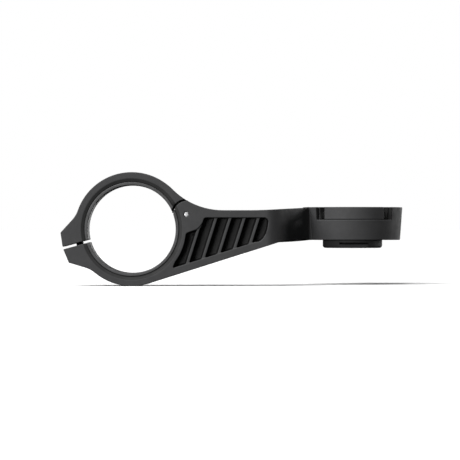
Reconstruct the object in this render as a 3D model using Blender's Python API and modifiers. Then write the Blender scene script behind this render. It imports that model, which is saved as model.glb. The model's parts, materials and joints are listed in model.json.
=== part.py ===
"""Out-front handlebar mount for a cycling computer.

A hinged two-jaw clamp for a 31.8 mm bar carries an arm that sweeps sideways and forward to a
round cup. A quarter-turn receiver sits in the cup, and a cover closes the accessory seat below.

Frame: origin at the centre of the handlebar bore, +X forward, +Y along the bar towards the
cup's side, +Z up. Lengths below are millimetres and angles are degrees.
"""

import math

import bmesh
import bpy
from mathutils import Matrix, Vector

MM = 0.001

# Clamp ring
BAR_RADIUS = 15.9
LINER_RADIUS = 16.9
SEAT_RADIUS = 17.05
FACE_RADIUS = 18.4
RING_RADIUS = 20.6
CLAMP_WIDTH = 14.0
SEAT_WIDTH = 12.4
LINER_WIDTH = 13.7
KEY_WIDTH = 3.0
KEY_RADIUS = 17.6
KEY_SPAN = 50.0
KEY_OVERLAP = 0.6
FIT_GAP = 0.15

# Split and its two ears, measured along the split line (reach) and square to it (rise)
SPLIT_ANGLE = 195.4
SPLIT_GAP = 0.9
EAR_REACH = 25.8
EAR_CORNER_REACH = 25.1
EAR_CORNER_RISE = 5.65
EAR_SLOPE = 148.0
EAR_FILLET = 10.0

# Clamp bolt, washer and bush, heights along the bolt from the split line
BOLT_REACH = 19.7
BOLT_RADIUS = 1.45
BOLT_HOLE_RADIUS = 1.7
BOLT_TIP = -3.6
HEAD_RADIUS = 2.7
HEAD_LOW = 5.1
HEAD_HIGH = 7.1
HEX_KEY = 2.0
HEX_DEPTH = 1.2
WASHER_RADIUS = 2.75
WASHER_LOW = 4.5
WASHER_HIGH = 5.0
COUNTERBORE_RADIUS = 2.9
COUNTERBORE_FLOOR = 4.4
BUSH_RADIUS = 2.3
BUSH_HOLE_RADIUS = 1.65
BUSH_LOW = -3.8
BUSH_HIGH = -0.75
BUSH_POCKET_FLOOR = -4.05

# Hinge
PIN_X = 19.8
PIN_Z = 5.35
PIN_RADIUS = 0.8
PIN_LENGTH = 13.6
JAW_PIN_HOLE = 0.87
ARM_PIN_HOLE = 0.95
EAR_RADIUS = 4.8
JAW_RADIUS = 5.45
KNUCKLE_RADIUS = 3.3
KNUCKLE_WIDTH = 5.8
SLOT_RADIUS = 3.7
SLOT_REACH = 9.0
SLOT_WIDTH = 6.4
TONGUE_ANGLES = (78.0, 165.0)
SLOT_ANGLES = (20.0, 200.0)
LINER_END_RADIUS = 4.98
LINER_END_WIDTH = 9.0

# Arm, in side view
ARM_TOP = 6.86
TOP_FILLET = 25.9
TOP_FILLET_X = 33.0
RISE_START_X = 43.0
RISE_END_X = 70.0
NECK_TOP = 8.1
NECK_BOTTOM = -3.93
UNDERSIDE_SLOPE = 17.6
KNEE_START_X = 53.0
KNEE_END_X = 66.0
KNEE_HANDLES = ((59.0, -4.75), (55.0, -4.6))

# Ribbed web
WALL = 2.7
WEB_THICKNESS = 4.6
POCKET_RING_RADIUS = 19.65
POCKET_HINGE_RADIUS = 6.5
POCKET_END_X = 49.4
POCKET_TIP_ANGLE = -41.5
POCKET_RING_ANGLES = (-37.0, -4.4)
POCKET_HINGE_START = -58.0
POCKET_CORNER = 1.4
POCKET_END_SLANT = ((-0.4, 0.0), (-1.3, -3.0), (-2.6, -4.9))
POCKET_END_FOOT_X = 44.5
RIB_COUNT = 5
RIB_PITCH = 5.1
RIB_LAST_X = 44.5
RIB_THICKNESS = 1.1
RIB_RECESS = 0.4
FAR_CELLS = 4
STRIP_LOW = -20.0
STRIP_HIGH = 10.0

# Neck, in plan
HEAD_X = 81.4
HEAD_Y = 29.0
NECK_START_X = 48.5
NECK_NEAR_PULLS = (7.0, 14.0)
NECK_FACE_ANGLE = 65.0
NECK_FILLET = 1.0
NECK_NEAR_ANGLE = 212.0
NECK_FAR_ANGLE = 142.0
NECK_MEET_RADIUS = 17.7
NECK_TRIM_RADIUS = 17.45
NECK_FAR_START_X = 40.0
NECK_FAR_PULLS = (10.0, 18.0)

# Cup
CUP_TOP = 8.2
CUP_BOTTOM = -4.0
CUP_TOP_RADIUS = 18.66
CUP_BOTTOM_RADIUS = 17.8
CUP_BORE = 17.2
CUP_FLOOR_TOP = 1.2
CUP_FLOOR_BOTTOM = -1.0
COVER_SEAT_RADIUS = 11.45
WINDOW_SILL = 3.47
WINDOW_HALF_ANGLE = 48.7

# Quarter-turn receiver
INSERT_RADIUS = 16.9
INSERT_BOTTOM = 1.5
INSERT_FLOOR = 4.2
LIP_BOTTOM = 6.6
LIP_RADIUS = 12.9
CAVITY_RADIUS = 15.2
NOTCH_HALF_ANGLE = 29.0
STOP_ANGLE = 8.0
LUG_RADIUS = 17.9
LUG_BOTTOM = 3.62
LUG_HALF_ANGLE = 38.7
RELIEF_ANGLES = (38.3, 47.8)
RELIEF_RADIUS = 14.9

# Accessory cover
COVER_RADIUS = 11.14
COVER_BOTTOM = -7.0
COVER_TOP = -1.3
COVER_EDGE = 0.9
FLAT_HALF_WIDTH = 5.25
FLAT_TOP = -5.55
PRY_TOP = -5.05
PRY_DEPTH = 1.6

# Small screws and their bushes
SCREW_RADIUS = 1.25
SCREW_HOLE_RADIUS = 1.45
SCREW_HEAD_RADIUS = 2.2
SCREW_POCKET_RADIUS = 2.45
SMALL_BUSH_RADIUS = 1.95
SMALL_BUSH_HOLE = 1.4
SMALL_BUSH_POCKET = 2.1
SCREW_KEY = 1.5
SCREW_KEY_DEPTH = 0.9
INSERT_SCREW_OFFSET = 7.4
INSERT_SCREW_HEAD = (-2.5, -1.1)
INSERT_SCREW_TIP = 3.5
INSERT_BUSH = (1.8, 3.3)
INSERT_BUSH_POCKET_TOP = 3.6
COVER_SCREW_OFFSET = 7.0
COVER_SCREW_HEAD = (-6.8, -5.4)
COVER_SCREW_TIP = 0.5
COVER_BUSH = (-0.9, 0.6)
COVER_BUSH_POCKET_TOP = 0.8
COVER_COUNTERBORE_TOP = -5.2
HEAD_POCKET_TOP = -2.8

# Fineness of the curves, and how far tools and blanks run past the surfaces they meet
ARC_STEP = 4.0
FILLET_STEP = 15.0
CURVE_STEPS = 12
EASE_STEPS = 10
KNEE_STEPS = 8
END_STEPS = 5
CORNER_STEP = 30.0
ROUND_STEPS = 90
COUNTERBORE_STEPS = 36
SCREW_STEPS = 32
HOLE_STEPS = 24
HEX_SIDES = 6
PIN_CHAMFER = 0.2
SCREW_CHAMFER = 0.25
PAST = 1.0
ROOT = 2.0
FAR = 60.0
MERGE = 0.000002

# Solids where faces meet almost at a tangent, which the exact solver leaves open
MANIFOLD_TARGETS = ("arm_body", "cup")


# Flat geometry, in millimetres

def polar(centre, radius, angle):
    turn = math.radians(angle)
    return (centre[0] + radius * math.cos(turn), centre[1] + radius * math.sin(turn))


def arc(centre, radius, start, end, step=ARC_STEP):
    count = max(2, math.ceil(abs(end - start) / step))
    return [polar(centre, radius, start + (end - start) * i / count) for i in range(count + 1)]


def bezier(start, first, second, end, count=CURVE_STEPS):
    points = []
    for i in range(count + 1):
        t = i / count
        weights = ((1 - t) ** 3, 3 * t * (1 - t) ** 2, 3 * t * t * (1 - t), t ** 3)
        corners = (start, first, second, end)
        points.append(tuple(sum(w * p[k] for w, p in zip(weights, corners)) for k in (0, 1)))
    return points


def split_point(reach, rise):
    """Point in the XZ plane from its distance along the split line and square to it."""
    turn = math.radians(SPLIT_ANGLE)
    return (reach * math.cos(turn) + rise * math.sin(turn),
            reach * math.sin(turn) - rise * math.cos(turn))


PIN = (PIN_X, PIN_Z)
HEAD = (HEAD_X, HEAD_Y)
ORIGIN = (0.0, 0.0)


def ear_outline(side):
    """Edge of one ear from the split out to its corner and back to the ring; side is +1 or -1."""
    normal_angle = EAR_SLOPE - 90
    normal = polar(ORIGIN, 1, normal_angle)
    offset = normal[0] * EAR_CORNER_REACH + normal[1] * EAR_CORNER_RISE
    span = math.degrees(math.acos((offset + EAR_FILLET) / (RING_RADIUS + EAR_FILLET)))
    ring_angle = normal_angle - span
    centre = polar(ORIGIN, RING_RADIUS + EAR_FILLET, ring_angle)
    points = [(EAR_REACH, 0.0), (EAR_CORNER_REACH, EAR_CORNER_RISE)]
    points += arc(centre, EAR_FILLET, normal_angle + 180, ring_angle + 180)
    return [split_point(reach, side * rise) for reach, rise in points], ring_angle


def ease(start, end, low, high, count=EASE_STEPS):
    """Smooth rise from low to high between two X places."""
    points = []
    for i in range(count + 1):
        t = i / count
        points.append((start + (end - start) * t, low + (high - low) * t * t * (3 - 2 * t)))
    return points


def underside(x):
    """Height of the straight underside, which leaves the ring at a tangent."""
    slope = math.radians(UNDERSIDE_SLOPE)
    return (x * math.sin(slope) - RING_RADIUS) / math.cos(slope)


def side_outline():
    """Clamp and arm in side view, clockwise from the split over the top."""
    upper_ear, ring_angle = ear_outline(1)
    lower_ear, _ = ear_outline(-1)
    top_centre = (TOP_FILLET_X, ARM_TOP + TOP_FILLET)
    leave_top = math.degrees(math.atan2(top_centre[1], top_centre[0]))
    leave_bottom = UNDERSIDE_SLOPE - 90
    points = upper_ear
    points += arc(ORIGIN, RING_RADIUS, SPLIT_ANGLE - ring_angle, leave_top)[1:]
    points += arc(top_centre, TOP_FILLET, leave_top + 180, 270)[1:]
    points += ease(RISE_START_X, RISE_END_X, ARM_TOP, NECK_TOP)
    points += [(HEAD_X, NECK_TOP), (HEAD_X, NECK_BOTTOM)]
    knee = (KNEE_START_X, underside(KNEE_START_X))
    points += bezier((KNEE_END_X, NECK_BOTTOM), *KNEE_HANDLES, knee, KNEE_STEPS)
    points += arc(ORIGIN, RING_RADIUS, leave_bottom, SPLIT_ANGLE - 360 + ring_angle)
    points += lower_ear[:0:-1]
    return points


def plan_outline():
    """Clamp and neck seen from above; the neck's near face fillets into the cup's wall."""
    half = CLAMP_WIDTH / 2
    fillet_centre = polar(HEAD, NECK_MEET_RADIUS + NECK_FILLET, NECK_NEAR_ANGLE)
    near_end = polar(fillet_centre, NECK_FILLET, NECK_FACE_ANGLE + 90)
    near_pull, run_out = NECK_NEAR_PULLS
    near_handle = polar(near_end, -run_out, NECK_FACE_ANGLE)
    far_end = polar(HEAD, NECK_MEET_RADIUS, NECK_FAR_ANGLE)
    far_pull, pull_back = NECK_FAR_PULLS
    far_handle = polar(far_end, pull_back, NECK_FAR_ANGLE + 90)
    points = [(-FAR, -half)]
    points += bezier((NECK_START_X, -half), (NECK_START_X + near_pull, -half), near_handle,
                     near_end)
    points += arc(fillet_centre, NECK_FILLET, NECK_FACE_ANGLE + 90, NECK_NEAR_ANGLE - 180,
                  FILLET_STEP)[1:]
    points += [HEAD]
    points += bezier(far_end, far_handle, (NECK_FAR_START_X + far_pull, half),
                     (NECK_FAR_START_X, half))
    points += [(-FAR, half)]
    return points


def jaw_zone(rise):
    """Area above the split line and left of the hinge pin, with its edge raised by rise."""
    pin_reach = -math.hypot(*PIN)
    return [split_point(FAR, rise), (-FAR, FAR), (PIN_X, FAR), split_point(pin_reach, rise)]


def sector(centre, inner, outer, start, end):
    """Ring sector; an inner radius of zero gives a wedge."""
    hub = arc(centre, inner, end, start) if inner else [centre]
    return arc(centre, outer, start, end) + hub


def keyhole(radius, reach, start, end):
    """Disc about the hinge pin with a wedge opening outwards between two angles."""
    return arc(PIN, reach, start, end) + arc(PIN, radius, end, start + 360)


def pocket_outline():
    """Edge of the ribbed recess in the arm's face, clockwise from its lower tip."""
    slope = math.radians(UNDERSIDE_SLOPE)
    lift = WALL / math.cos(slope)

    def lower_edge(x):
        return underside(x) + lift

    roof = ARM_TOP - WALL
    roof_start = PIN_X + math.sqrt(POCKET_HINGE_RADIUS ** 2 - (roof - PIN_Z) ** 2)
    tip_x = polar(ORIGIN, POCKET_RING_RADIUS, POCKET_TIP_ANGLE)[0]
    hinge_end = math.degrees(math.atan2(roof - PIN_Z, roof_start - PIN_X))
    points = [(tip_x, lower_edge(tip_x))]
    points += arc(ORIGIN, POCKET_RING_RADIUS, *POCKET_RING_ANGLES)
    points += arc(PIN, POCKET_HINGE_RADIUS, POCKET_HINGE_START, hinge_end)
    corner = (POCKET_END_X - POCKET_CORNER, roof - POCKET_CORNER)
    points += arc(corner, POCKET_CORNER, 90, 0, CORNER_STEP)
    slant = [(POCKET_END_X + shift, z) for shift, z in POCKET_END_SLANT]
    points += bezier(*slant, (POCKET_END_FOOT_X, lower_edge(POCKET_END_FOOT_X)),
                     END_STEPS)
    return points


# Solids: every helper takes millimetres and returns an object in world coordinates

def collection(name):
    group = bpy.data.collections.new(name)
    bpy.context.scene.collection.children.link(group)
    return group


def as_solid(drawing, name):
    """Turn a curve or a modified mesh into one welded mesh object with outward faces."""
    bpy.context.view_layer.update()
    evaluated = drawing.evaluated_get(bpy.context.evaluated_depsgraph_get())
    mesh = bpy.data.meshes.new_from_object(evaluated)
    mesh.transform(drawing.matrix_world)
    bpy.data.objects.remove(drawing)
    shell = bmesh.new()
    shell.from_mesh(mesh)
    bmesh.ops.remove_doubles(shell, verts=shell.verts, dist=MERGE)
    bmesh.ops.recalc_face_normals(shell, faces=shell.faces)
    shell.to_mesh(mesh)
    shell.free()
    mesh.materials.clear()
    solid = bpy.data.objects.new(name, mesh)
    CUTTERS.objects.link(solid)
    return solid


def prism(name, outline, low, high, plane="XZ"):
    """Closed outline drawn in XZ and swept along Y, or drawn in XY and swept along Z."""
    curve = bpy.data.curves.new(name, "CURVE")
    curve.dimensions = "2D"
    curve.fill_mode = "BOTH"
    curve.extrude = (high - low) / 2 * MM
    spline = curve.splines.new("POLY")
    spline.points.add(len(outline) - 1)
    for point, (across, up) in zip(spline.points, outline):
        point.co = (across * MM, up * MM, 0, 1)
    spline.use_cyclic_u = True
    drawing = bpy.data.objects.new(name, curve)
    CUTTERS.objects.link(drawing)
    middle = (low + high) / 2 * MM
    if plane == "XZ":
        upright = Matrix.Rotation(math.radians(90), 4, "X")
        drawing.matrix_world = Matrix.Translation((0, middle, 0)) @ upright
    else:
        drawing.matrix_world = Matrix.Translation((0, 0, middle))
    return as_solid(drawing, name)


def turned(name, profile, place=None, steps=ROUND_STEPS):
    """Profile of (radius, height), top to bottom, turned about local Z and then placed."""
    mesh = bpy.data.meshes.new(name)
    points = [(radius * MM, 0, height * MM) for radius, height in profile]
    mesh.from_pydata(points, [(i, i + 1) for i in range(len(points) - 1)], [])
    drawing = bpy.data.objects.new(name, mesh)
    CUTTERS.objects.link(drawing)
    drawing.matrix_world = place or Matrix.Identity(4)
    screw = drawing.modifiers.new("turn", "SCREW")
    screw.axis = "Z"
    screw.steps = steps
    screw.render_steps = steps
    screw.use_merge_vertices = True
    screw.merge_threshold = MERGE
    return as_solid(drawing, name)


def frame_at(point, direction=(0, 0, 1)):
    """Matrix that puts local Z along a direction at a point in millimetres."""
    turn = Vector((0, 0, 1)).rotation_difference(Vector(direction)).to_matrix().to_4x4()
    return Matrix.Translation(Vector(point) * MM) @ turn


def rod(name, radius, low, high, place=None, steps=HOLE_STEPS):
    """Plain cylinder between two heights of a placed axis."""
    mesh = bpy.data.meshes.new(name)
    shell = bmesh.new()
    bmesh.ops.create_cone(shell, cap_ends=True, segments=steps, radius1=radius * MM,
                          radius2=radius * MM, depth=(high - low) * MM,
                          matrix=Matrix.Translation((0, 0, (low + high) / 2 * MM)))
    shell.to_mesh(mesh)
    shell.free()
    mesh.transform(place or Matrix.Identity(4))
    solid = bpy.data.objects.new(name, mesh)
    CUTTERS.objects.link(solid)
    return solid


def combine(target, other, operation="DIFFERENCE"):
    """Boolean of one solid with another, which becomes a hidden guide."""
    step = target.modifiers.new(other.name, "BOOLEAN")
    step.operation = operation
    step.solver = "MANIFOLD" if target.name in MANIFOLD_TARGETS else "EXACT"
    step.object = other
    other.hide_render = True
    other.display_type = "WIRE"
    return target


def material(name, colour, roughness, metallic=0.0):
    look = bpy.data.materials.new(name)
    look.use_nodes = True
    shader = look.node_tree.nodes["Principled BSDF"]
    shader.inputs["Base Color"].default_value = (*colour, 1.0)
    shader.inputs["Roughness"].default_value = roughness
    shader.inputs["Metallic"].default_value = metallic
    return look


def keep(solid, look, origin=ORIGIN + (0.0,)):
    """Make a solid a piece of the part: its own material, its origin on its axis or centre."""
    offset = Vector(origin) * MM
    solid.data.transform(Matrix.Translation(-offset))
    solid.location = offset
    own = look.copy()
    own.name = solid.name + "_" + look.name
    solid.data.materials.append(own)
    solid.data.shade_smooth()
    solid.data.set_sharp_from_angle(angle=math.radians(30))
    CUTTERS.objects.unlink(solid)
    PART.objects.link(solid)
    return solid


# Places shared by several pieces

BOLT_DIRECTION = Vector((split_point(0, 1)[0], 0, split_point(0, 1)[1]))
BOLT_BASE = Vector((split_point(BOLT_REACH, 0)[0], 0, split_point(BOLT_REACH, 0)[1]))
ALONG_BAR = (0, 1, 0)


def bolt_frame():
    return frame_at(BOLT_BASE, BOLT_DIRECTION)


def hinge_frame():
    return frame_at((PIN_X, 0, PIN_Z), ALONG_BAR)


def head_frame(offset_x=0.0, offset_y=0.0):
    return frame_at((HEAD_X + offset_x, HEAD_Y + offset_y, 0))


# Pieces

def bore_guide(name):
    """Turned shape of the liner seat with its lead-in chamfer on both faces."""
    half, seat = CLAMP_WIDTH / 2, SEAT_WIDTH / 2
    wide = FACE_RADIUS + PAST * (FACE_RADIUS - SEAT_RADIUS) / (half - seat)
    profile = [(0, half + PAST), (wide, half + PAST), (SEAT_RADIUS, seat),
               (SEAT_RADIUS, -seat), (wide, -half - PAST), (0, -half - PAST)]
    return turned(name, profile, frame_at((0, 0, 0), ALONG_BAR))


def key_outline(middle, clearance):
    return sector(ORIGIN, BAR_RADIUS + KEY_OVERLAP, KEY_RADIUS + clearance,
                  middle - KEY_SPAN / 2 - clearance, middle + KEY_SPAN / 2 + clearance)


def key_slot(name, middle):
    half = KEY_WIDTH / 2 + FIT_GAP
    return prism(name, key_outline(middle, FIT_GAP), -half, half)


def clamp_blank(name):
    half = CLAMP_WIDTH / 2
    return prism(name, side_outline(), -half, half)


def strip(start, end):
    """Band between two lines that lean with the ribs, from their X places at Z = 0."""
    lean = math.tan(math.radians(UNDERSIDE_SLOPE))
    return [(x + lean * z, z) for x, z in
            ((start, STRIP_LOW), (end, STRIP_LOW), (end, STRIP_HIGH), (start, STRIP_HIGH))]


def cut_ribbed_web(arm):
    """Sink the recess into both faces, leaving slanted ribs just below the surface.

    The neck grows out of the far face, so the far recess stops after its first cells.
    """
    half = CLAMP_WIDTH / 2
    outline = pocket_outline()
    thick = RIB_THICKNESS / 2 / math.cos(math.radians(UNDERSIDE_SLOPE))
    last_far_x = RIB_LAST_X - (RIB_COUNT - FAR_CELLS) * RIB_PITCH
    for side, face in (("near", -1), ("far", 1)):
        inner, outer = WEB_THICKNESS / 2 * face, (half + PAST) * face
        cells = prism("pocket_" + side, outline, min(inner, outer), max(inner, outer))
        for rib in range(RIB_COUNT):
            x = RIB_LAST_X - rib * RIB_PITCH
            low, high = sorted((inner - face, (half - RIB_RECESS) * face))
            combine(cells, prism(f"rib_{side}_{rib}", strip(x - thick, x + thick), low, high))
        if side == "far":
            low, high = sorted((inner - face, outer + face))
            combine(cells, prism("far_stop", strip(last_far_x, FAR), low, high))
        combine(arm, cells)


def make_cup():
    """Round cup with its bore, side windows, cover seat and screw places."""
    cup = turned("cup", [(0, CUP_TOP), (CUP_TOP_RADIUS, CUP_TOP),
                         (CUP_BOTTOM_RADIUS, CUP_BOTTOM), (0, CUP_BOTTOM)], head_frame())
    combine(cup, rod("cup_bore", CUP_BORE, CUP_FLOOR_TOP, FAR, head_frame(), ROUND_STEPS))
    combine(cup, rod("cover_seat", COVER_SEAT_RADIUS, -FAR, CUP_FLOOR_BOTTOM, head_frame(),
                     ROUND_STEPS))
    for side, facing in (("near", -90), ("far", 90)):
        window = sector(HEAD, CUP_BORE - ROOT, CUP_TOP_RADIUS + ROOT,
                        facing - WINDOW_HALF_ANGLE, facing + WINDOW_HALF_ANGLE)
        combine(cup, prism("window_" + side, window, WINDOW_SILL, CUP_TOP + PAST, "XY"))
        place = head_frame(0, math.copysign(INSERT_SCREW_OFFSET, facing))
        combine(cup, rod("insert_screw_hole_" + side, SCREW_HOLE_RADIUS, CUP_BOTTOM,
                         INSERT_BOTTOM, place))
    for end, sign in (("front", 1), ("back", -1)):
        place = head_frame(sign * COVER_SCREW_OFFSET)
        combine(cup, rod("cover_bush_pocket_" + end, SMALL_BUSH_POCKET, CUP_BOTTOM,
                         COVER_BUSH_POCKET_TOP, place))
    return cup


def make_arm_body(look):
    half = CLAMP_WIDTH / 2
    arm = prism("arm_body", side_outline(), -half, HEAD_Y + CUP_TOP_RADIUS)
    combine(arm, prism("plan", plan_outline(), -FAR, FAR, "XY"), "INTERSECT")
    combine(arm, rod("neck_trim", NECK_TRIM_RADIUS, -FAR, FAR, head_frame(), ROUND_STEPS))
    combine(arm, make_cup(), "UNION")
    upper = prism("upper_zone", jaw_zone(-SPLIT_GAP / 2), -half - PAST, half + PAST)
    combine(upper, rod("ear_round", EAR_RADIUS, -FAR, FAR, hinge_frame(), ROUND_STEPS))
    combine(arm, upper)
    combine(arm, bore_guide("arm_bore"))
    combine(arm, key_slot("lower_key_slot", 270))
    slot = SLOT_WIDTH / 2
    combine(arm, prism("knuckle_slot", keyhole(SLOT_RADIUS, SLOT_REACH, *SLOT_ANGLES),
                       -slot, slot))
    combine(arm, rod("arm_pin_hole", ARM_PIN_HOLE, -FAR, FAR, hinge_frame()))
    combine(arm, rod("bush_pocket", BUSH_RADIUS + FIT_GAP, BUSH_POCKET_FLOOR, PAST, bolt_frame()))
    cut_ribbed_web(arm)
    return keep(arm, look)


def make_upper_jaw(look):
    half = CLAMP_WIDTH / 2
    jaw = clamp_blank("upper_jaw")
    lower = prism("lower_zone", jaw_zone(SPLIT_GAP / 2), -half - PAST, half + PAST)
    combine(jaw, lower, "INTERSECT")
    combine(jaw, rod("jaw_round", JAW_RADIUS, -FAR, FAR, hinge_frame(), ROUND_STEPS))
    knuckle = prism("knuckle", keyhole(KNUCKLE_RADIUS, JAW_RADIUS + PAST, *TONGUE_ANGLES),
                    -KNUCKLE_WIDTH / 2, KNUCKLE_WIDTH / 2)
    combine(knuckle, clamp_blank("knuckle_trim"), "INTERSECT")
    combine(jaw, knuckle, "UNION")
    combine(jaw, bore_guide("jaw_bore"))
    combine(jaw, key_slot("upper_key_slot", 90))
    combine(jaw, rod("jaw_pin_hole", JAW_PIN_HOLE, -FAR, FAR, hinge_frame()))
    combine(jaw, rod("bolt_hole", BOLT_HOLE_RADIUS, -PAST, FAR / 2, bolt_frame()))
    combine(jaw, rod("counterbore", COUNTERBORE_RADIUS, COUNTERBORE_FLOOR, FAR / 2,
                     bolt_frame(), COUNTERBORE_STEPS))
    return keep(jaw, look, (PIN_X, 0, PIN_Z))


def make_liner(name, middle, zone_rise, cut_zone, hinge_radius, look, origin):
    """Half-ring pad with a key that locks it in its jaw; its end follows the hinge's round."""
    half = LINER_WIDTH / 2
    place = frame_at((0, 0, 0), ALONG_BAR)
    liner = rod(name, LINER_RADIUS, -half, half, place, ROUND_STEPS)
    key = prism(name + "_key", key_outline(middle, 0), -KEY_WIDTH / 2, KEY_WIDTH / 2)
    combine(liner, key, "UNION")
    combine(liner, rod(name + "_bore", BAR_RADIUS, -FAR, FAR, place, ROUND_STEPS))
    hinge = rod(name + "_hinge", hinge_radius, -FAR, FAR, hinge_frame(), ROUND_STEPS)
    zone = prism(name + "_zone", jaw_zone(zone_rise), -half - PAST, half + PAST)
    if cut_zone:
        combine(zone, hinge)
        combine(liner, zone)
    else:
        combine(liner, zone, "INTERSECT")
        combine(liner, hinge)
        for side, face in (("near", -1), ("far", 1)):
            low, high = sorted((LINER_END_WIDTH / 2 * face, FAR * face))
            combine(liner, rod(f"{name}_end_{side}", JAW_RADIUS, low, high, hinge_frame(),
                               ROUND_STEPS))
    return keep(liner, look, origin)


def make_hinge_pin(look):
    half, edge = PIN_LENGTH / 2, PIN_CHAMFER
    profile = [(0, half), (PIN_RADIUS - edge, half), (PIN_RADIUS, half - edge),
               (PIN_RADIUS, edge - half), (PIN_RADIUS - edge, -half), (0, -half)]
    pin = turned("hinge_pin", profile, hinge_frame(), HOLE_STEPS)
    return keep(pin, look, (PIN_X, 0, PIN_Z))


def hexagon(name, across_flats, low, high, place):
    return rod(name, across_flats / math.sqrt(3), low, high, place, HEX_SIDES)


def socket_screw(name, head_radius, head, radius, tip, key, key_depth, place, look, head_up):
    """Cylinder-head screw with a hexagon socket; heights are along the placed axis."""
    low, high = head
    edge = SCREW_CHAMFER
    under, top = (low, high) if head_up else (high, low)
    away = 1 if head_up else -1
    profile = [(0, top), (head_radius - edge, top), (head_radius, top - away * edge),
               (head_radius, under), (radius, under), (radius, tip + away * edge),
               (radius - edge, tip), (0, tip)]
    if not head_up:
        profile.reverse()
    screw = turned(name, profile, place, SCREW_STEPS)
    socket = sorted((top - away * key_depth, top + away * PAST))
    combine(screw, hexagon(name + "_socket", key, *socket, place))
    return keep(screw, look, place.translation / MM)


def make_ring(name, radius, hole, low, high, place, look):
    """Plain ring, for washers and threaded bushes."""
    ring = rod(name, radius, low, high, place, SCREW_STEPS)
    combine(ring, rod(name + "_hole", hole, low - PAST, high + PAST, place))
    return keep(ring, look, place.translation / MM)


def make_insert(look):
    """Bayonet receiver: cavity under two lips, entry notches, stops and two spring lugs."""
    insert = rod("quarter_turn_insert", INSERT_RADIUS, INSERT_BOTTOM, CUP_TOP, head_frame(),
                 ROUND_STEPS)
    for side, facing in (("near", -90), ("far", 90)):
        lug = sector(HEAD, INSERT_RADIUS - ROOT, LUG_RADIUS, facing - LUG_HALF_ANGLE,
                     facing + LUG_HALF_ANGLE)
        combine(insert, prism("lug_" + side, lug, LUG_BOTTOM, CUP_TOP, "XY"), "UNION")
    combine(insert, rod("mouth", LIP_RADIUS, INSERT_FLOOR, FAR, head_frame(), ROUND_STEPS))
    cavity = rod("cavity", CAVITY_RADIUS, INSERT_FLOOR, LIP_BOTTOM, head_frame(), ROUND_STEPS)
    for side, facing in (("near", -90), ("far", 90)):
        start = facing + NOTCH_HALF_ANGLE
        stop = sector(HEAD, LIP_RADIUS, CAVITY_RADIUS + PAST, start, start + STOP_ANGLE)
        combine(cavity, prism("stop_" + side, stop, 0, FAR, "XY"))
    combine(insert, cavity)
    for side, facing in (("near", -90), ("far", 90)):
        notch = sector(HEAD, LIP_RADIUS - ROOT, CAVITY_RADIUS, facing - NOTCH_HALF_ANGLE,
                       facing + NOTCH_HALF_ANGLE)
        combine(insert, prism("notch_" + side, notch, INSERT_FLOOR, FAR, "XY"))
        for end, sign in (("left", -1), ("right", 1)):
            relief = sector(HEAD, RELIEF_RADIUS, LUG_RADIUS + PAST,
                            *(facing + sign * angle for angle in RELIEF_ANGLES))
            combine(insert, prism(f"relief_{side}_{end}", relief, LUG_BOTTOM, FAR, "XY"))
        place = head_frame(0, math.copysign(INSERT_SCREW_OFFSET, facing))
        combine(insert, rod("insert_bush_pocket_" + side, SMALL_BUSH_POCKET, 0,
                            INSERT_BUSH_POCKET_TOP, place))
    return keep(insert, look, (HEAD_X, HEAD_Y, 0))


def make_cover(look):
    """Round cover of the accessory seat, with flats and pry slots on two sides."""
    profile = [(0, COVER_TOP), (COVER_RADIUS, COVER_TOP)]
    edge_centre = (COVER_RADIUS - COVER_EDGE, COVER_BOTTOM + COVER_EDGE)
    profile += arc(edge_centre, COVER_EDGE, 0, -90, CORNER_STEP) + [(0, COVER_BOTTOM)]
    cover = turned("accessory_cover", profile, head_frame())
    flat = math.sqrt(COVER_RADIUS ** 2 - FLAT_HALF_WIDTH ** 2)
    for side, sign in (("near", -1), ("far", 1)):
        for name, depth, low, high in (("flat", 0.0, COVER_BOTTOM - PAST, FLAT_TOP),
                                       ("pry", PRY_DEPTH, FLAT_TOP, PRY_TOP)):
            inner, outer = sorted((HEAD_Y + sign * (flat - depth), HEAD_Y + sign * FAR))
            box = [(HEAD_X + x, y) for x, y in
                   ((-FLAT_HALF_WIDTH, inner), (FLAT_HALF_WIDTH, inner),
                    (FLAT_HALF_WIDTH, outer), (-FLAT_HALF_WIDTH, outer))]
            combine(cover, prism(f"{name}_{side}", box, low, high, "XY"))
        place = head_frame(0, sign * INSERT_SCREW_OFFSET)
        combine(cover, rod("head_pocket_" + side, SCREW_POCKET_RADIUS, HEAD_POCKET_TOP,
                           COVER_TOP + PAST, place))
    for end, sign in (("front", 1), ("back", -1)):
        place = head_frame(sign * COVER_SCREW_OFFSET)
        combine(cover, rod("cover_hole_" + end, SCREW_HOLE_RADIUS, COVER_BOTTOM - PAST,
                           COVER_TOP + PAST, place))
        combine(cover, rod("cover_counterbore_" + end, SCREW_POCKET_RADIUS,
                           COVER_BOTTOM - PAST, COVER_COUNTERBORE_TOP, place))
    return keep(cover, look, (HEAD_X, HEAD_Y, 0))


def make_head_fasteners(steel, brass):
    for side, sign in (("near", -1), ("far", 1)):
        place = head_frame(0, sign * INSERT_SCREW_OFFSET)
        socket_screw("insert_screw_" + side, SCREW_HEAD_RADIUS, INSERT_SCREW_HEAD, SCREW_RADIUS,
                     INSERT_SCREW_TIP, SCREW_KEY, SCREW_KEY_DEPTH, place, steel, False)
        make_ring("insert_bush_" + side, SMALL_BUSH_RADIUS, SMALL_BUSH_HOLE, *INSERT_BUSH,
                  place, brass)
    for end, sign in (("front", 1), ("back", -1)):
        place = head_frame(sign * COVER_SCREW_OFFSET)
        socket_screw("cover_screw_" + end, SCREW_HEAD_RADIUS, COVER_SCREW_HEAD, SCREW_RADIUS,
                     COVER_SCREW_TIP, SCREW_KEY, SCREW_KEY_DEPTH, place, steel, False)
        make_ring("cover_bush_" + end, SMALL_BUSH_RADIUS, SMALL_BUSH_HOLE, *COVER_BUSH, place,
                  brass)


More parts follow.
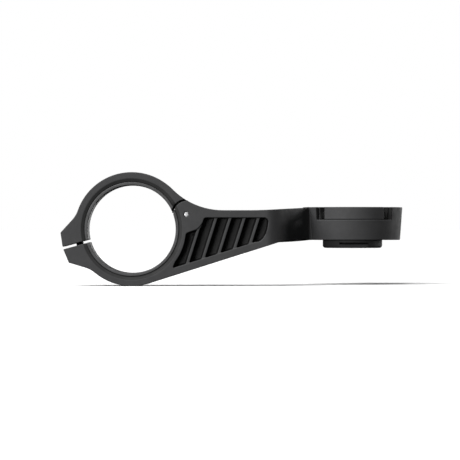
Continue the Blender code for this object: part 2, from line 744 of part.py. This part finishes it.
def build():
    plastic = material("black_nylon", (0.035, 0.035, 0.037), 0.5)
    rubber = material("bar_pad_rubber", (0.05, 0.05, 0.05), 0.75)
    steel = material("polished_steel", (0.75, 0.75, 0.76), 0.22, 1.0)
    dark_steel = material("black_steel", (0.03, 0.03, 0.032), 0.4, 0.8)
    brass = material("brass", (0.72, 0.53, 0.25), 0.35, 1.0)
    make_arm_body(plastic)
    make_upper_jaw(plastic)
    make_liner("upper_liner", 90, SPLIT_GAP / 2, False, LINER_END_RADIUS, rubber,
               (PIN_X, 0, PIN_Z))
    make_liner("lower_liner", 270, -SPLIT_GAP / 2, True, EAR_RADIUS, rubber, (0, 0, 0))
    make_hinge_pin(steel)
    socket_screw("clamp_bolt", HEAD_RADIUS, (HEAD_LOW, HEAD_HIGH), BOLT_RADIUS, BOLT_TIP,
                 HEX_KEY, HEX_DEPTH, bolt_frame(), dark_steel, True)
    make_ring("bolt_washer", WASHER_RADIUS, BOLT_HOLE_RADIUS, WASHER_LOW, WASHER_HIGH,
              bolt_frame(), dark_steel)
    make_ring("clamp_bush", BUSH_RADIUS, BUSH_HOLE_RADIUS, BUSH_LOW, BUSH_HIGH, bolt_frame(),
              brass)
    make_insert(plastic)
    make_cover(plastic)
    make_head_fasteners(dark_steel, brass)


for stale in list(bpy.data.objects):
    bpy.data.objects.remove(stale)
PART = collection("out_front_mount")
CUTTERS = collection("cutters")
build()
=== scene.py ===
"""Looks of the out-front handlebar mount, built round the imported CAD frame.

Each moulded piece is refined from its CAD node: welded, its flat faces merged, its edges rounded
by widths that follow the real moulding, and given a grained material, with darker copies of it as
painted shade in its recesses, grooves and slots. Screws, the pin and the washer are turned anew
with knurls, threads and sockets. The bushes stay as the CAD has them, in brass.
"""

import json
import math

import bmesh
import bpy
from mathutils import Matrix, Vector
from mathutils.bvhtree import BVHTree


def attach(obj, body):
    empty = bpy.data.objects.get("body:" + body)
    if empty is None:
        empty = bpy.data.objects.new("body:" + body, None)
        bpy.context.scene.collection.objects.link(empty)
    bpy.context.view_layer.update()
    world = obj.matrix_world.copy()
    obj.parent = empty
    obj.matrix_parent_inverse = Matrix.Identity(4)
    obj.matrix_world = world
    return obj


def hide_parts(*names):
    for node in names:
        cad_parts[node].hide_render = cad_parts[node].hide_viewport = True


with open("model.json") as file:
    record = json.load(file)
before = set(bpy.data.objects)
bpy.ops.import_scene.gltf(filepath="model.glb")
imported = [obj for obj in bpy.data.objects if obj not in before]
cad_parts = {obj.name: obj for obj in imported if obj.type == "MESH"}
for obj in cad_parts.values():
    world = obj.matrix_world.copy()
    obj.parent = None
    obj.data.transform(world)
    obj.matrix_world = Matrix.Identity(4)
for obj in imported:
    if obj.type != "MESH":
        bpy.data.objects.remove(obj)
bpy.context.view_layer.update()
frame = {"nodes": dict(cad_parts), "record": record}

MM = 0.001

# Places on the part, in millimetres and degrees, as the CAD has them

HALF_WIDTH = 7.0
PIN = Vector((19.8, 0.0, 5.35))
HEAD = Vector((81.4, 29.0, 0.0))

# Clamp's bore: outer radius of the pads, their seats, and the lead-in groove beside them
LINER_RADIUS = 16.9
SEAT_RADIUS = 17.05
SEAT_HALF = 6.2
SEAT_PRESS = 0.01
GROOVE_HALF = 6.55
# GROOVE_RADIUS and GROOVE_MOUTH, outside SEAT_HALF, bound the groove's painted shade
GROOVE_RADIUS = 18.3
GROOVE_MOUTH = 6.99

# Ribbed recess of the arm: its bounds, the sloped underside that it stays WALL above, and how far
# its floor's edges and the middles of its walls lie from the middle plane
# Faces of the recess nearer the middle plane than WALL_REACH get painted shade
RECESS_X = (14.5, 49.8)
RECESS_RING = 19.5
RECESS_HINGE = 6.3
RECESS_TOP = 4.4
RING_RADIUS = 20.6
UNDERSIDE_SLOPE = 17.6
WALL = 2.3
FLOOR_REACH = 2.4
WALL_REACH = 6.4

# Neck's lower near edge: its span, its height, and how far x runs ahead of y beyond it
NECK_EDGE_X = (52.0, 66.0)
NECK_EDGE_Z = -3.5
NECK_SIDE = 40.0

# Cup and receiver: ranges of radius about the head's axis, of angle from a lug's middle, and of
# height, for the cup's side windows and for the receiver's relief slots
# CUP_WALL, WINDOW_EDGE, WINDOW_SILL, RIM_TOP and the relief ranges bound painted shade on the
# windows' ends and the relief slots' walls
CUP_WALL = (17.1, 18.8)
WINDOW_EDGE = (48.2, 49.4)
WINDOW_SILL = 3.5
RIM_TOP = 8.15
RELIEF_SLOT = (14.8, 17.95)
RELIEF_TURN = (38.1, 48.2)
SLOT_END = (14.8, 15.3)
SLOT_END_TURN = (37.5, 50.0)

# Accessory cover: half of its width at the flats, and the heights of its pry slot, whose walls
# get painted shade
COVER_FLAT = 9.8
PRY_SLOT = (-5.6, -5.0)

# Cleaning and rounding the CAD's mesh: lengths in millimetres, angles in degrees. NEAR is the
# slack for finding a face, and SKIN_SLACK is how far past the CAD a rounded point may stay

WELD = 0.004
NEAR = 0.05
FLAT_ANGLE = 0.6
EDGE_ANGLE = 24.0
SHARP_ANGLE = 40.0
BEVEL_WIDTH = 1.0
BEVEL_SEGMENTS = 3
FINE_EDGE = 0.28
NECK_EDGE = 0.95
CELL_CORNER = 0.7
CELL_FLOOR = 1.1
SKIN_REACH = 0.6
SKIN_SLACK = 0.003
NORMAL_WEIGHT = 80

# Least share of a direction along Y, for an edge that runs across and a face that looks sideways
RUNS_ACROSS = 0.9
LOOKS_SIDEWAYS = 0.97

# Places of the looks in a piece's material list: plain, painted shade, and deeper painted shade
PLAIN, PAINTED_SHADE, DEEP_PAINTED_SHADE = range(3)

# Turned hardware. A screw is given by its radii and by heights along its own axis, both in
# millimetres, and RIM is the number of points in a ring

RIM = 120
TURNED_SHARP = 35.0
BOLT_BASE = Vector((-18.992679, 0.0, -5.231456))
BOLT_AXIS = Vector((-0.265556, 0.0, 0.964095))
BOLT = {"head": 2.7, "top": 7.1, "under": 5.1, "shank": 1.45, "tip": -3.6, "plain": 3.0,
        "pitch": 0.5, "key": 2.0, "depth": 1.2, "knurl": 0.16}
INSERT_SCREW = {"head": 2.2, "top": -2.5, "under": -1.1, "shank": 1.25, "tip": 3.5,
                "plain": 0.0, "pitch": 0.45, "key": 1.5, "depth": 0.9, "knurl": 0.0}
COVER_SCREW = dict(INSERT_SCREW, top=-6.8, under=-5.4, tip=0.5, plain=-4.0)
INSERT_SCREW_OFFSET = 7.4
COVER_SCREW_OFFSET = 7.0

# Screw's head, as (inset from its radius, distance from its end face, share of the knurl)
HEAD_FOOT = ((0.22, 0.0, 0.0), (0.06, 0.1, 0.5), (0.0, 0.22, 1.0))
HEAD_CROWN = ((0.0, 0.308, 1.0), (0.09, 0.132, 0.5), (0.22, 0.0264, 0.0), (0.374, 0.0, 0.0))
HEAD_FILLET = 0.12
KNURL_COUNT = 30

# Socket: mouth as (share of the key's half width, depth), depth of the hexagon's start, then the
# hexagon's end and the drilled bottom's edge as shares of the depth, and the drill's own share of
# the key's half width
SOCKET_MOUTH = ((1.32, 0.0), (1.17, 0.12))
SOCKET_START = 0.2
SOCKET_END = 0.85
DRILL_EDGE = 0.88
DRILL_SIZE = 0.9

# Thread: depth as a share of the pitch, steps a turn, steps of fading at each end and the least
# share of its depth there; then the tip, which is set in and has one ring of its own
THREAD_DEPTH = 0.54
THREAD_STEPS = 6
THREAD_FADE = 8.0
THREAD_LEAST = 0.02
TIP_INSET = 0.1
TIP_SHARE = 0.8
TIP_LENGTH = 0.12

# Hinge pin: each end is a low dome that is flat out to DOME_CENTRE, a share of the radius
PIN_RADIUS = 0.8
PIN_HALF = 6.8
PIN_SHARP = 50.0
DOME_HEIGHT = 0.05
DOME_STEPS = 5
DOME_CENTRE = 0.25

# Washer's outline as (radius, height): rounded on its upper rim, with a chamfered bore
WASHER = ((1.7, 4.5), (2.69, 4.5), (2.75, 4.56), (2.75, 4.85),
          (2.7, 4.95), (2.59, 5.0), (1.8, 5.0), (1.7, 4.9))

# Materials: darker colour, lighter colour and roughness, then grain depth in metres or metallic

NYLON_SHINE = 0.28
NYLONS = {
    "black_nylon": ((0.035, 0.035, 0.036), (0.043, 0.043, 0.044), 0.66, 0.00003),
    # The next two are darker copies of the black nylon, painted shade: the first for the recess
    # floors and the groove, the second, near black, for the recess walls, the window ends and the
    # slot walls
    "painted_shade_nylon": ((0.018, 0.018, 0.018), (0.025, 0.025, 0.025), 0.75, 0.00004),
    "painted_deep_shade_nylon": ((0.004, 0.004, 0.004), (0.007, 0.007, 0.007), 0.85, 0.00004),
    "insert_nylon": ((0.036, 0.036, 0.037), (0.046, 0.046, 0.047), 0.6, 0.00002),
}
RUBBER = (0.05, 0.05, 0.05)
RUBBER_DARK = (0.034, 0.034, 0.034)
RUBBER_LIGHT = (0.056, 0.056, 0.058)
METALS = {
    "polished_steel": ((0.4, 0.4, 0.4), (0.5, 0.5, 0.51), 0.45, 1.0),
    "black_steel": ((0.02, 0.02, 0.021), (0.035, 0.035, 0.037), 0.4, 0.8),
    "brass": ((0.66, 0.47, 0.21), (0.76, 0.57, 0.28), 0.35, 1.0),
}
# Each moulded piece's looks: its nylon first, then its painted shade copies
CLAMP_LOOKS = ("black_nylon", "painted_shade_nylon", "painted_deep_shade_nylon")
COVER_LOOKS = ("black_nylon", "painted_deep_shade_nylon")
INSERT_LOOKS = ("insert_nylon", "painted_deep_shade_nylon")
PAD_LOOKS = ("bar_pad_rubber",)

# Stage: a level camera looking along +Y from far away, in millimetres

CAMERA = Vector((35.5, -928.0, -0.3))
LENS = 199.8
SENSOR = 36.0
CLIP_END = 100
FLOOR_Z = -20.6
FLOOR_SIZE = 60
FLOOR_WHITE = (0.95, 0.95, 0.95)
FLOOR_ROUGHNESS = 0.9

# Lights. The sun: where it shines from, its strength, and the angle that softens its shadows. An
# area light: its place and its size in metres, and its power in watts; it shines at AIM
AIM = Vector((0.036, 0.01, 0.0))
SUN = ((-0.45, -0.42, 0.88), 4.2, 60.0)
AREA_LIGHTS = {
    "softbox": ((-0.45, -1.3, 0.25), (0.8, 0.6), 1.4),
    "low_left": ((-0.44, -1.1, 0.03), (0.25, 0.08), 6.0),
    "low_front": ((0.1, -1.2, 0.02), (0.3, 0.06), 0.3),
    "near_top": ((-0.05, -0.12, 0.17), (0.08, 0.06), 0.09),
    "left_high": ((-0.8, -0.2, 0.55), (0.4, 0.4), 2),
    "right": ((0.8, 0.48, 0.12), (0.4, 0.3), 3.2),
    "behind": ((0.45, 1.2, 0.05), (0.7, 0.6), 3),
}


# Materials

def shader_of(name, colour, roughness, metallic=0.0, specular=0.5):
    look = bpy.data.materials.new(name)
    look.use_nodes = True
    shader = look.node_tree.nodes["Principled BSDF"]
    shader.inputs["Base Color"].default_value = (*colour, 1.0)
    shader.inputs["Roughness"].default_value = roughness
    shader.inputs["Metallic"].default_value = metallic
    shader.inputs["Specular IOR Level"].default_value = specular
    return look, shader


def add_node(look, kind, **settings):
    node = look.node_tree.nodes.new(kind)
    for key, value in settings.items():
        setattr(node, key, value)
    return node


def noise(look, scale, detail=3.0, rough=0.5):
    """Noise over the object's own coordinates; scale is in grains per metre."""
    place = add_node(look, "ShaderNodeTexCoord")
    grain = add_node(look, "ShaderNodeTexNoise")
    grain.inputs["Scale"].default_value = scale
    grain.inputs["Detail"].default_value = detail
    grain.inputs["Roughness"].default_value = rough
    look.node_tree.links.new(place.outputs["Object"], grain.inputs["Vector"])
    return grain.outputs["Fac"]


def ramp(look, source, low, high, start=0.3, end=0.7):
    """Map a noise's middle range onto the range from low to high."""
    node = add_node(look, "ShaderNodeMapRange")
    node.inputs["From Min"].default_value = start
    node.inputs["From Max"].default_value = end
    node.inputs["To Min"].default_value = low
    node.inputs["To Max"].default_value = high
    look.node_tree.links.new(source, node.inputs["Value"])
    return node.outputs["Result"]


def blend_colour(look, source, first, second):
    """Colour that a noise takes from the first to the second."""
    node = add_node(look, "ShaderNodeMix", data_type="RGBA")
    node.inputs["A"].default_value = (*first, 1.0)
    node.inputs["B"].default_value = (*second, 1.0)
    look.node_tree.links.new(ramp(look, source, low=0.0, high=1.0), node.inputs["Factor"])
    return node.outputs["Result"]


def bump(look, height, depth, strength, below=None):
    node = add_node(look, "ShaderNodeBump")
    node.inputs["Distance"].default_value = depth
    node.inputs["Strength"].default_value = strength
    look.node_tree.links.new(height, node.inputs["Height"])
    if below:
        look.node_tree.links.new(below, node.inputs["Normal"])
    return node.outputs["Normal"]


def wire(look, shader, **sources):
    """Link the colour, the roughness and the normal to a shader."""
    sockets = {"colour": "Base Color", "roughness": "Roughness", "normal": "Normal"}
    for key, source in sources.items():
        look.node_tree.links.new(source, shader.inputs[sockets[key]])
    return look


def moulded_nylon(name, dark, light, roughness, grain_depth):
    """Glass-filled nylon: fine spark grain, faint flow mottling and slightly uneven gloss."""
    look, shader = shader_of(name, light, roughness, specular=NYLON_SHINE)
    mottle = noise(look, scale=140.0, detail=4.0, rough=0.6)
    grain = noise(look, scale=5200.0, detail=2.0, rough=0.7)
    gloss = noise(look, scale=420.0)
    flow = bump(look, mottle, depth=0.00002, strength=0.3)
    return wire(look, shader,
                colour=blend_colour(look, mottle, dark, light),
                roughness=ramp(look, gloss, low=roughness - 0.05, high=roughness + 0.06),
                normal=bump(look, grain, depth=grain_depth, strength=0.5, below=flow))


def pad_rubber(name):
    """Soft rubber with a fine dusting and a pebbled skin."""
    look, shader = shader_of(name, RUBBER, roughness=0.7)
    dust = noise(look, scale=300.0, detail=4.0)
    gloss = noise(look, scale=900.0)
    pebbles = noise(look, scale=3800.0, detail=2.0)
    return wire(look, shader,
                colour=blend_colour(look, dust, RUBBER_DARK, RUBBER_LIGHT),
                roughness=ramp(look, gloss, low=0.5, high=0.68),
                normal=bump(look, pebbles, depth=0.00003, strength=0.5))


def turned_metal(name, dark, light, roughness, metallic):
    """Machined metal: uneven colour, and fine streaks in the gloss and the height."""
    look, shader = shader_of(name, light, roughness, metallic)
    streaks = noise(look, scale=7000.0, detail=2.0)
    patches = noise(look, scale=900.0)
    return wire(look, shader,
                colour=blend_colour(look, patches, dark, light),
                roughness=ramp(look, streaks, low=roughness - 0.06, high=roughness + 0.08),
                normal=bump(look, streaks, depth=0.000008, strength=0.4))


def make_looks():
    looks = {name: moulded_nylon(name, *values) for name, values in NYLONS.items()}
    looks["bar_pad_rubber"] = pad_rubber("bar_pad_rubber")
    looks.update({name: turned_metal(name, *values) for name, values in METALS.items()})
    return looks


# Where a point of the CAD lies; points are in millimetres

def underside(x):
    """Height of the arm's sloped underside."""
    slope = math.radians(UNDERSIDE_SLOPE)
    return (x * math.sin(slope) - RING_RADIUS) / math.cos(slope)


def in_recess(point):
    """Whether a point lies on a wall or floor of the arm's ribbed recess."""
    if not RECESS_X[0] < point.x < RECESS_X[1] or abs(point.y) > HALF_WIDTH - NEAR:
        return False
    if math.hypot(point.x, point.z) < RECESS_RING or point.z > RECESS_TOP:
        return False
    if math.hypot(point.x - PIN.x, point.z - PIN.z) < RECESS_HINGE:
        return False
    return point.z > underside(point.x) + WALL


def head_polar(point):
    """Distance from the receiver's axis, and angle from its near or far lug's middle."""
    reach = math.hypot(point.x - HEAD.x, point.y - HEAD.y)
    turn = abs(math.degrees(math.atan2(point.y - HEAD.y, point.x - HEAD.x)))
    return reach, abs(turn - 90)


def at_slot_end(point):
    """Whether a point lies on the narrow step where a relief slot meets the cavity."""
    reach, turn = head_polar(point)
    return SLOT_END[0] < reach < SLOT_END[1] and SLOT_END_TURN[0] < turn < SLOT_END_TURN[1]


def edge_weight(edge):
    """Share of the bevel width that an edge gets, from where it lies."""
    if any(at_slot_end(vertex.co / MM) for vertex in edge.verts):
        return 0.0
    middle = (edge.verts[0].co + edge.verts[1].co) / 2 / MM
    if in_recess(middle):
        run = (edge.verts[0].co - edge.verts[1].co).normalized()
        if abs(run.y) > RUNS_ACROSS:
            return CELL_CORNER / BEVEL_WIDTH
        if abs(middle.y) < FLOOR_REACH:
            return CELL_FLOOR / BEVEL_WIDTH
    along = (middle.x - NECK_EDGE_X[0]) / (NECK_EDGE_X[1] - NECK_EDGE_X[0])
    if 0 < along < 1 and middle.z < NECK_EDGE_Z and middle.y < middle.x - NECK_SIDE:
        return (FINE_EDGE + (NECK_EDGE - FINE_EDGE) * math.sin(math.pi * along)) / BEVEL_WIDTH
    return FINE_EDGE / BEVEL_WIDTH


def clamp_face(face):
    """Look of a face on the arm or the jaw: painted shade in the recess, the groove and at the
    windows' ends.
    """
    point = face.center / MM
    # Painted shade in the recess: its floor darker, its walls near black
    if in_recess(point) and abs(point.y) < WALL_REACH:
        return PAINTED_SHADE if abs(face.normal.y) > LOOKS_SIDEWAYS else DEEP_PAINTED_SHADE
    # Painted shade, near black, on the ends of the cup's side windows
    reach, turn = head_polar(point)
    if CUP_WALL[0] < reach < CUP_WALL[1] and WINDOW_EDGE[0] < turn < WINDOW_EDGE[1]:
        return DEEP_PAINTED_SHADE if WINDOW_SILL < point.z < RIM_TOP else PLAIN
    # Painted shade in the lead-in groove beside the bar pads
    in_groove = SEAT_RADIUS < math.hypot(point.x, point.z) < GROOVE_RADIUS
    return PAINTED_SHADE if in_groove and SEAT_HALF < abs(point.y) < GROOVE_MOUTH else PLAIN


def insert_face(face):
    """Look of a face on the receiver: painted shade, near black, on the walls beside a spring
    lug.
    """
    point = face.center / MM
    reach, turn = head_polar(point)
    in_slot = RELIEF_SLOT[0] < reach < RELIEF_SLOT[1] and RELIEF_TURN[0] < turn < RELIEF_TURN[1]
    # Painted shade, near black, on the relief slots' walls
    return PAINTED_SHADE if in_slot and point.z < RIM_TOP else PLAIN


def cover_face(face):
    """Look of a face on the accessory cover: painted shade, near black, on the walls of its pry
    slot.
    """
    point = face.center / MM - HEAD
    in_slot = PRY_SLOT[0] < point.z < PRY_SLOT[1]
    inside = abs(point.y) < COVER_FLAT and abs(point.x) < COVER_FLAT
    # Painted shade, near black, on the pry slot's walls
    return PAINTED_SHADE if in_slot and inside else PLAIN


# Refined CAD pieces

def fill_seat(shell):
    """Press a liner's outer face against its seat."""
    for vertex in shell.verts:
        radius = math.hypot(vertex.co.x, vertex.co.z)
        if abs(radius / MM - LINER_RADIUS) < NEAR:
            grow = (SEAT_RADIUS - SEAT_PRESS) * MM / radius
            vertex.co.x *= grow
            vertex.co.z *= grow


def raise_groove(shell):
    """Make the lead-in beside the bar pads shallower, as on the real moulding."""
    for vertex in shell.verts:
        x, y, z = vertex.co / MM
        if abs(math.hypot(x, z) - SEAT_RADIUS) < NEAR and abs(abs(y) - SEAT_HALF) < NEAR:
            vertex.co.y = math.copysign(GROOVE_HALF * MM, y)


def apply_modifiers(piece):
    bpy.context.view_layer.update()
    graph = bpy.context.evaluated_depsgraph_get()
    mesh = bpy.data.meshes.new_from_object(piece.evaluated_get(graph), depsgraph=graph)
    piece.modifiers.clear()
    piece.data = mesh


def clean(mesh):
    """Drop what the rounding leaves loose and close any pinhole."""
    shell = bmesh.new()
    shell.from_mesh(mesh)
    bmesh.ops.delete(shell, geom=[e for e in shell.edges if not e.link_faces], context="EDGES")
    bmesh.ops.delete(shell, geom=[v for v in shell.verts if not v.link_edges], context="VERTS")
    open_edges = [e for e in shell.edges if len(e.link_faces) == 1]
    if open_edges:
        bmesh.ops.holes_fill(shell, edges=open_edges, sides=0)
    shell.to_mesh(mesh)
    shell.free()


def hold_inside(mesh, skin):
    """Draw back onto the CAD skin any point that the rounding threw off it."""
    for vertex in mesh.vertices:
        place, normal, _, gap = skin.find_nearest(vertex.co)
        if gap > SKIN_REACH * MM or (vertex.co - place).dot(normal) > SKIN_SLACK * MM:
            vertex.co = place


def welded(mesh):
    """Mesh's shell with its seams joined and its flat faces merged."""
    shell = bmesh.new()
    shell.from_mesh(mesh)
    bmesh.ops.remove_doubles(shell, verts=shell.verts, dist=WELD * MM)
    bmesh.ops.dissolve_degenerate(shell, edges=shell.edges, dist=WELD * MM)
    bmesh.ops.dissolve_limit(shell, angle_limit=math.radians(FLAT_ANGLE), verts=shell.verts,
                             edges=shell.edges)
    bmesh.ops.recalc_face_normals(shell, faces=shell.faces)
    return shell


def weigh_edges(shell):
    """Give each bent edge its share of the bevel, and smooth every face."""
    layer = shell.edges.layers.float.new("bevel_weight_edge")
    for edge in shell.edges:
        if len(edge.link_faces) == 2:
            if edge.calc_face_angle() > math.radians(EDGE_ANGLE):
                edge[layer] = edge_weight(edge)
    for face in shell.faces:
        face.smooth = True


def round_edges(piece):
    bevel = piece.modifiers.new("round", "BEVEL")
    bevel.limit_method = "WEIGHT"
    bevel.width = BEVEL_WIDTH * MM
    bevel.segments = BEVEL_SEGMENTS
    bevel.use_clamp_overlap = False
    bevel.miter_outer = "MITER_ARC"
    apply_modifiers(piece)


def even_shading(piece):
    piece.data.set_sharp_from_angle(angle=math.radians(SHARP_ANGLE))
    normals = piece.modifiers.new("even_shading", "WEIGHTED_NORMAL")
    normals.keep_sharp = True
    normals.weight = NORMAL_WEIGHT
    apply_modifiers(piece)


def new_object(name, mesh):
    piece = bpy.data.objects.new(name, mesh)
    bpy.context.scene.collection.objects.link(piece)
    return piece


def hand_over(piece, node, body):
    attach(piece, body)
    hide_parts(node)


def refine(node, body, looks, pick=None, shape=None):
    """Replace a CAD node by a rounded copy.

    pick chooses each face's place in the looks, and shape moves points before the rounding.
    """
    source = frame["nodes"][node]
    mesh = source.data.copy()
    mesh.name = node + "_fine"
    mesh.transform(source.matrix_world)
    mesh.materials.clear()
    for look in looks:
        mesh.materials.append(LOOKS[look])
    shell = welded(mesh)
    if shape:
        shape(shell)
    skin = BVHTree.FromBMesh(shell)
    weigh_edges(shell)
    shell.to_mesh(mesh)
    shell.free()
    piece = new_object(node + "_fine", mesh)
    round_edges(piece)
    clean(piece.data)
    hold_inside(piece.data, skin)
    for face in piece.data.polygons:
        face.material_index = pick(face) if pick else PLAIN
    even_shading(piece)
    hand_over(piece, node, body)


# Turned hardware

def rings(stations):
    """Open shell through rings of points, with the rings themselves.

    A station is (radius rule, height): the rule gives a radius in millimetres for an angle.
    """
    shell = bmesh.new()
    loops = []
    for rule, height in stations:
        loops.append([shell.verts.new(Vector((rule(turn) * math.cos(turn),
                                              rule(turn) * math.sin(turn), height)) * MM)
                      for turn in (2 * math.pi * i / RIM for i in range(RIM))])
    for lower, upper in zip(loops, loops[1:]):
        bridge(shell, lower, upper)
    return shell, loops


def bridge(shell, lower, upper):
    for i in range(RIM):
        j = (i + 1) % RIM
        shell.faces.new((lower[i], lower[j], upper[j], upper[i]))


def close_ends(shell, loops, heights):
    """Close the first and the last ring, each about a middle point at its own height."""
    for loop, height in zip((loops[0], loops[-1]), heights):
        middle = shell.verts.new((0, 0, height * MM))
        for i in range(RIM):
            shell.faces.new((middle, loop[i], loop[(i + 1) % RIM]))


def as_piece(shell, name, place, look, sharp_angle=TURNED_SHARP):
    bmesh.ops.recalc_face_normals(shell, faces=shell.faces)
    for face in shell.faces:
        face.smooth = True
    mesh = bpy.data.meshes.new(name)
    shell.to_mesh(mesh)
    shell.free()
    mesh.transform(place)
    mesh.set_sharp_from_angle(angle=math.radians(sharp_angle))
    mesh.materials.append(look)
    return new_object(name, mesh)


def round_rule(radius):
    return lambda turn: radius


def hex_rule(across):
    sixth = math.pi / 3
    return lambda turn: across / 2 / math.cos((turn + sixth / 2) % sixth - sixth / 2)


def knurl_rule(radius, depth):
    return lambda turn: radius - depth * (0.5 - 0.5 * math.cos(KNURL_COUNT * turn))


def thread_rule(radius, depth, pitch, height, away):
    """Ridges with straight flanks, whose phase climbs one pitch a turn."""
    def rule(turn):
        phase = (away * height / pitch - turn / (2 * math.pi)) % 1.0
        return radius - depth * (1 - abs(2 * phase - 1))
    return rule


def thread(size, away):
    """Stations of a screw's threaded end, from its tip to its plain shank."""
    shank, tip, pitch = size["shank"], size["tip"], size["pitch"]
    depth = THREAD_DEPTH * pitch
    stations = [(round_rule(shank - depth - TIP_INSET), tip),
                (round_rule(shank - depth * TIP_SHARE), tip + away * TIP_LENGTH)]
    count = int(abs(size["plain"] - tip) / pitch * THREAD_STEPS)
    for i in range(2, count):
        height = tip + away * i * pitch / THREAD_STEPS
        fade = min(1.0, i / THREAD_FADE, (count - i) / THREAD_FADE)
        ridge = depth * max(fade, THREAD_LEAST)
        stations.append((thread_rule(shank, ridge, pitch, height, away), height))
    return stations + [(round_rule(shank), size["plain"])]


def socket_screw(node, size, place, slot, body):
    """Socket-head screw: a helical thread, a plain or knurled head and a hexagon socket."""
    top, under, head, shank = size["top"], size["under"], size["head"], size["shank"]
    key, depth, knurl = size["key"], size["depth"], size["knurl"]
    away = 1 if top > under else -1
    stations = thread(size, away)
    stations += [(round_rule(shank), under - away * HEAD_FILLET),
                 (round_rule(shank + HEAD_FILLET), under)]
    stations += [(knurl_rule(head - inset, knurl * share), under + away * rise)
                 for inset, rise, share in HEAD_FOOT]
    stations += [(knurl_rule(head - inset, knurl * share), top - away * drop)
                 for inset, drop, share in HEAD_CROWN]
    stations += [(round_rule(key / 2 * share), top - away * drop)
                 for share, drop in SOCKET_MOUTH]
    stations += [(hex_rule(key), top - away * SOCKET_START),
                 (hex_rule(key), top - away * depth * SOCKET_END),
                 (round_rule(key / 2 * DRILL_SIZE), top - away * depth * DRILL_EDGE)]
    shell, loops = rings(stations)
    close_ends(shell, loops, (size["tip"], top - away * depth))
    hand_over(as_piece(shell, node + "_fine", place, LOOKS[slot]), node, body)


def hinge_pin():
    """Round pin with lightly domed, peened ends."""
    stations = []
    for end in (-1, 1):
        dome = []
        for step in range(DOME_STEPS + 1):
            bend = step / DOME_STEPS * math.pi / 2
            radius = PIN_RADIUS * (DOME_CENTRE + (1 - DOME_CENTRE) * math.sin(bend))
            height = PIN_HALF - DOME_HEIGHT * (1 - math.cos(bend))
            dome.append((round_rule(radius), end * height))
        stations += dome if end < 0 else dome[::-1]
    place = Matrix.Translation(PIN * MM) @ Matrix.Rotation(math.radians(-90), 4, "X")
    shell, loops = rings(stations)
    close_ends(shell, loops, (-PIN_HALF, PIN_HALF))
    hand_over(as_piece(shell, "hinge_pin_fine", place, LOOKS["polished_steel"], PIN_SHARP),
              "hinge_pin", "arm")


def bolt_washer(place):
    """Stamped washer, whose last ring joins its first down the bore."""
    shell, loops = rings([(round_rule(radius), height) for radius, height in WASHER])
    bridge(shell, loops[-1], loops[0])
    hand_over(as_piece(shell, "bolt_washer_fine", place, LOOKS["black_steel"]),
              "bolt_washer", "washer")


def make_hardware():
    turn = Vector((0, 0, 1)).rotation_difference(BOLT_AXIS).to_matrix().to_4x4()
    clamp = Matrix.Translation(BOLT_BASE * MM) @ turn
    socket_screw("clamp_bolt", BOLT, clamp, "black_steel", "bolt")
    bolt_washer(clamp)
    hinge_pin()
    for side, sign in (("near", -1), ("far", 1)):
        place = Matrix.Translation((HEAD + Vector((0, sign * INSERT_SCREW_OFFSET, 0))) * MM)
        socket_screw("insert_screw_" + side, INSERT_SCREW, place, "black_steel", "arm")
    for end, sign in (("front", 1), ("back", -1)):
        place = Matrix.Translation((HEAD + Vector((sign * COVER_SCREW_OFFSET, 0, 0))) * MM)
        socket_screw("cover_screw_" + end, COVER_SCREW, place, "black_steel", "arm")


# Stage

def add_camera():
    data = bpy.data.cameras.new("camera")
    data.lens = LENS
    data.sensor_width = SENSOR
    data.clip_end = CLIP_END
    camera = new_object("camera", data)
    camera.location = CAMERA * MM
    camera.rotation_euler = (math.radians(90), 0, 0)
    bpy.context.scene.camera = camera


def facing(aim):
    """Rotation that turns a light's -Z along a direction."""
    return aim.to_track_quat("-Z", "Y").to_euler()


def add_area(name, place, size, power):
    data = bpy.data.lights.new(name, "AREA")
    data.shape = "RECTANGLE"
    data.size, data.size_y = size
    data.energy = power
    light = new_object(name, data)
    light.location = Vector(place)
    light.rotation_euler = facing(AIM - Vector(place))
    light.visible_camera = False


def add_sun(name, place, power, angle):
    data = bpy.data.lights.new(name, "SUN")
    data.energy = power
    data.angle = math.radians(angle)
    new_object(name, data).rotation_euler = facing(-Vector(place))


def add_floor():
    bpy.ops.mesh.primitive_plane_add(size=FLOOR_SIZE, location=(0, 0, FLOOR_Z * MM))
    floor = bpy.context.object
    floor.name = "floor"
    look, _ = shader_of("floor_white", FLOOR_WHITE, FLOOR_ROUGHNESS, specular=0.0)
    floor.data.materials.append(look)
    floor.visible_diffuse = False
    floor.visible_glossy = False


def add_world():
    """White backdrop that lights nothing by itself."""
    world = bpy.data.worlds.new("studio")
    world.use_nodes = True
    backdrop = world.node_tree.nodes["Background"]
    backdrop.inputs["Color"].default_value = (1, 1, 1, 1)
    backdrop.inputs["Strength"].default_value = 1.0
    bpy.context.scene.world = world
    world.cycles_visibility.diffuse = False
    world.cycles_visibility.glossy = False


add_camera()
add_floor()
add_world()
add_sun("sky", *SUN)
for name, (place, size, power) in AREA_LIGHTS.items():
    add_area(name, place, size, power)
bpy.context.scene.view_settings.view_transform = "Standard"

LOOKS = make_looks()

refine("arm_body", "arm", CLAMP_LOOKS, clamp_face, raise_groove)
refine("upper_jaw", "jaw", CLAMP_LOOKS, clamp_face, raise_groove)
refine("accessory_cover", "arm", COVER_LOOKS, cover_face)
refine("quarter_turn_insert", "arm", INSERT_LOOKS, insert_face)
refine("upper_liner", "jaw", PAD_LOOKS, shape=fill_seat)
refine("lower_liner", "arm", PAD_LOOKS, shape=fill_seat)
make_hardware()

for entry in frame["record"]["subparts"]:
    node = frame["nodes"][entry["node"]]
    node.data.materials.clear()
    node.data.materials.append(LOOKS[entry["material_slot"]])
